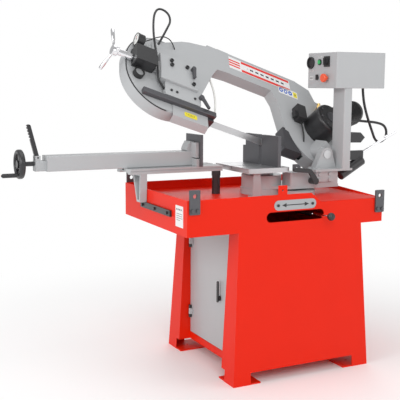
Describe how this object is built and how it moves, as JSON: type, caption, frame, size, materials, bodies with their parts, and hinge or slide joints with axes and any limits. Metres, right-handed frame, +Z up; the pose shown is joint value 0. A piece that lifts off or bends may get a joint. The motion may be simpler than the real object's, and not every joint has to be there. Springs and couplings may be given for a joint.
{
  "type": "horizontal band saw",
  "caption": "Metal-cutting band saw: swinging leaning bow with blade on two wheels, mitre swivel, long screw vise, coolant tray, cabinet stand with door, raised control box.",
  "frame": {"origin": "on the floor under the middle of the stand, between its four anchor holes", "axes": "+Z up; +X along the vise and blade towards the bow's pivot and the control box; +Y away from the operator, who stands at the tray's long front side"},
  "size_m": [1.8752, 0.7595, 1.6072],
  "materials": {
    "red_paint": "gloss",
    "grey_paint": "satin",
    "black_paint": "satin",
    "dark_steel": "satin",
    "machined_steel": "satin",
    "chrome": "polished",
    "cast_wheel": "satin",
    "black_plastic": "matt",
    "black_rubber": "matt",
    "pale_hose": "satin",
    "brass": "satin",
    "grey_plate": "satin",
    "green_plastic": "gloss",
    "red_plastic": "gloss"
  },
  "bodies": {
    "base": {"stand_frame": "red_paint", "drip_tray": "red_paint", "lifting_lugs": "red_paint", "door_hinges": "black_paint", "direction_plate": "grey_plate", "base_drum": "grey_paint", "table": "machined_steel", "fixed_jaws": "dark_steel", "jaw_blocks": "grey_paint"},
    "door": {"cabinet_door": "grey_paint"},
    "door_catch": {"door_latch": "black_paint"},
    "vise": {"vise_bed": "grey_paint", "bed_support": "black_paint", "screw_nut": "machined_steel"},
    "sliding_jaw": {"jaw_beam": "grey_paint", "moving_jaw": "dark_steel"},
    "screw": {"vise_screw": "black_paint"},
    "grip": {"crank_grip": "black_plastic"},
    "release_lever": {"nut_lever": "black_paint"},
    "table_lock": {"lock_lever": "black_paint"},
    "swivel": {"swivel_arm": "grey_paint", "pivot_bracket": "grey_paint", "pivot_pin": "machined_steel", "column": "grey_paint", "control_box": "grey_paint", "panel_fittings": "black_plastic", "balance_spring": "black_paint", "stop_bracket": "black_paint", "stop_rod": "chrome", "stay_chain": "machined_steel", "loop_conduit": "black_rubber"},
    "start": {"start_button": "green_plastic"},
    "stop": {"stop_button": "red_plastic"},
    "speed_switch": {"rotary_switch": "black_plastic"},
    "toggle": {"toggle_switch": "black_plastic"},
    "mitre_clamp": {"mitre_handle": "black_paint"},
    "bow": {"bow_frame": "grey_paint", "idler_cover": "grey_paint", "drive_cover": "grey_paint", "guide_plate": "grey_paint", "tension_block": "black_paint", "tension_gauge": "black_plastic", "fixed_guide": "dark_steel", "drive_motor": "black_paint", "switch_box": "black_plastic", "feed_valve": "brass", "bow_conduit": "black_rubber", "gauge_wire": "black_rubber", "coolant_hose": "pale_hose", "switch_cable": "black_rubber", "blade": "machined_steel", "blade_run": "machined_steel"},
    "drive": {"drive_wheel": "cast_wheel"},
    "idler_slide": {"idler_axle": "machined_steel"},
    "idler": {"idler_wheel": "cast_wheel"},
    "tension": {"tension_star": "chrome"},
    "guide": {"guide_arm": "dark_steel", "blade_guard": "grey_paint"},
    "guide_clamp": {"arm_clamp": "dark_steel"},
    "plate_clamp": {"slide_clamp": "dark_steel"}
  },
  "joints": [
    {"name": "door_hinge", "type": "hinge", "parent": "base", "child": "door", "pos_m": [-0.292, 0.202, 0.36], "axis": [0, 0, 1], "range_deg": [-100, 0]},
    {"name": "door_catch_turn", "type": "hinge", "parent": "door", "child": "door_catch", "pos_m": [-0.285, -0.088, 0.322], "axis": [-1, 0, 0], "range_deg": [0, 90]},
    {"name": "vise_cross_slide", "type": "slide", "parent": "base", "child": "vise", "axis": [0, -1, 0], "range_m": [0, 0.09]},
    {"name": "jaw_slide", "type": "slide", "parent": "vise", "child": "sliding_jaw", "axis": [1, 0, 0], "range_m": [-0.05, 0.26]},
    {"name": "handwheel_turn", "type": "hinge", "parent": "sliding_jaw", "child": "screw", "pos_m": [-1.093, 0.192, 0.9234], "axis": [1, 0, 0], "continuous": true},
    {"name": "crank_grip_spin", "type": "hinge", "parent": "screw", "child": "grip", "pos_m": [-1.113, 0.167, 0.8801], "axis": [1, 0, 0], "continuous": true},
    {"name": "half_nut_lever", "type": "hinge", "parent": "sliding_jaw", "child": "release_lever", "pos_m": [-1.019, 0.192, 0.9494], "axis": [0, 1, 0], "range_deg": [0, 30]},
    {"name": "table_lock_turn", "type": "hinge", "parent": "base", "child": "table_lock", "pos_m": [0.008, 0.065, 0.7], "axis": [0, 0, 1], "range_deg": [-34, 0]},
    {"name": "mitre_swivel", "type": "hinge", "parent": "base", "child": "swivel", "pos_m": [0.008, 0.065, 0.79], "axis": [0, 0, 1], "range_deg": [-45, 45]},
    {"name": "start_press", "type": "slide", "parent": "swivel", "child": "start", "axis": [1, 0, 0], "range_m": [0, 0.003], "stiffness_N_per_m": 800},
    {"name": "stop_press", "type": "slide", "parent": "swivel", "child": "stop", "axis": [1, 0, 0], "range_m": [0, 0.004], "stiffness_N_per_m": 800},
    {"name": "speed_switch_turn", "type": "hinge", "parent": "swivel", "child": "speed_switch", "pos_m": [0.3, -0.024, 1.366], "axis": [1, 0, 0], "range_deg": [-45, 45]},
    {"name": "toggle_turn", "type": "hinge", "parent": "swivel", "child": "toggle", "pos_m": [0.3, 0.044, 1.292], "axis": [1, 0, 0], "range_deg": [0, 60]},
    {"name": "mitre_clamp_turn", "type": "hinge", "parent": "swivel", "child": "mitre_clamp", "pos_m": [0.19, -0.075, 0.822], "axis": [0, 1, 0], "range_deg": [-25, 50]},
    {"name": "bow_swing", "type": "hinge", "parent": "swivel", "child": "bow", "pos_m": [0.3, 0, 0.936], "axis": [0, 1, 0], "range_deg": [-17.2, 11]},
    {"name": "drive_wheel_spin", "type": "hinge", "parent": "bow", "child": "drive", "pos_m": [0.36575, 0.17427, 1.01224], "axis": [0.205, -0.766, 0.6092], "continuous": true},
    {"name": "tension_screw_turn", "type": "hinge", "parent": "bow", "child": "tension", "pos_m": [-0.6876, 0.13674, 1.39996], "axis": [0.9478, 0, -0.319], "range_deg": [0, 720]},
    {"name": "idler_slide_move", "type": "slide", "parent": "bow", "child": "idler_slide", "axis": [0.9478, 0, -0.319], "range_m": [0, 0.006]},
    {"name": "idler_wheel_spin", "type": "hinge", "parent": "idler_slide", "child": "idler", "pos_m": [-0.45407, 0.17427, 1.28814], "axis": [0.205, -0.766, 0.6092], "continuous": true},
    {"name": "guide_arm_slide", "type": "slide", "parent": "bow", "child": "guide", "axis": [0.9478, 0, -0.319], "range_m": [-0.05, 0.05]},
    {"name": "guide_clamp_turn", "type": "hinge", "parent": "bow", "child": "guide_clamp", "pos_m": [-0.3108, 0.06146, 1.19656], "axis": [0.205, -0.766, 0.6092], "range_deg": [-20, 40]},
    {"name": "plate_clamp_turn", "type": "hinge", "parent": "bow", "child": "plate_clamp", "pos_m": [-0.31332, 0.13996, 1.32073], "axis": [0.205, -0.766, 0.6092], "range_deg": [-40, 40]}
  ],
  "couplings": [
    {"joint": "idler_slide_move", "follows": "tension_screw_turn", "m_per_rad": 0.00047746},
    {"joint": "idler_wheel_spin", "follows": "drive_wheel_spin", "ratio": 1}
  ]
}
